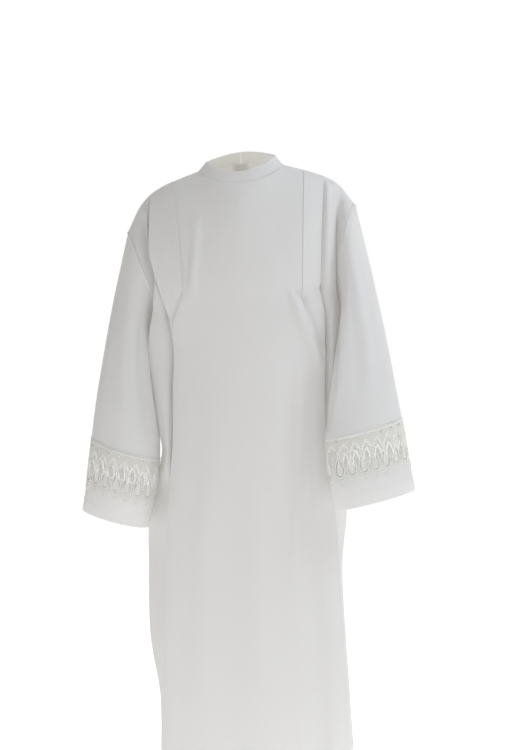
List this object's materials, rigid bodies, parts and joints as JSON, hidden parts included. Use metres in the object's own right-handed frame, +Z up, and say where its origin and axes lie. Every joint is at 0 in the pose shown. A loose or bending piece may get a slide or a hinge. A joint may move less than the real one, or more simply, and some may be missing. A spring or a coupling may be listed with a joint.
{
  "type": "alb",
  "caption": "Long white church tunic with a stand-up neckband, tucked shoulders and wide sleeves that end in a band of open lace above a plain cuff.",
  "frame": {"origin": "middle of the neck opening, level with the shoulders", "axes": "+Z up along the body, -Y out of the chest, +X to the wearer's left"},
  "size_m": [0.716, 0.3386, 1.488],
  "materials": {
    "cloth": "plain fine weave, matt",
    "lace": "open lace, slightly lustrous thread"
  },
  "bodies": {
    "root": {"front_side_right": "cloth", "front_upper_right": "cloth", "front_upper_left": "cloth", "front_side_left": "cloth", "front_lower": "cloth", "back_side_right": "cloth", "back_upper_right": "cloth", "back_upper_left": "cloth", "back_side_left": "cloth", "back_lower": "cloth", "sleeve_right_upper_front": "cloth", "sleeve_right_upper_back": "cloth", "sleeve_right_lower_front": "cloth", "sleeve_right_lower_back": "cloth", "lace_right": "lace", "cuff_right": "cloth", "sleeve_left_upper_front": "cloth", "sleeve_left_upper_back": "cloth", "sleeve_left_lower_front": "cloth", "sleeve_left_lower_back": "cloth", "lace_left": "lace", "cuff_left": "cloth", "collar": "cloth", "fly": "cloth"}
  },
  "joints": []
}
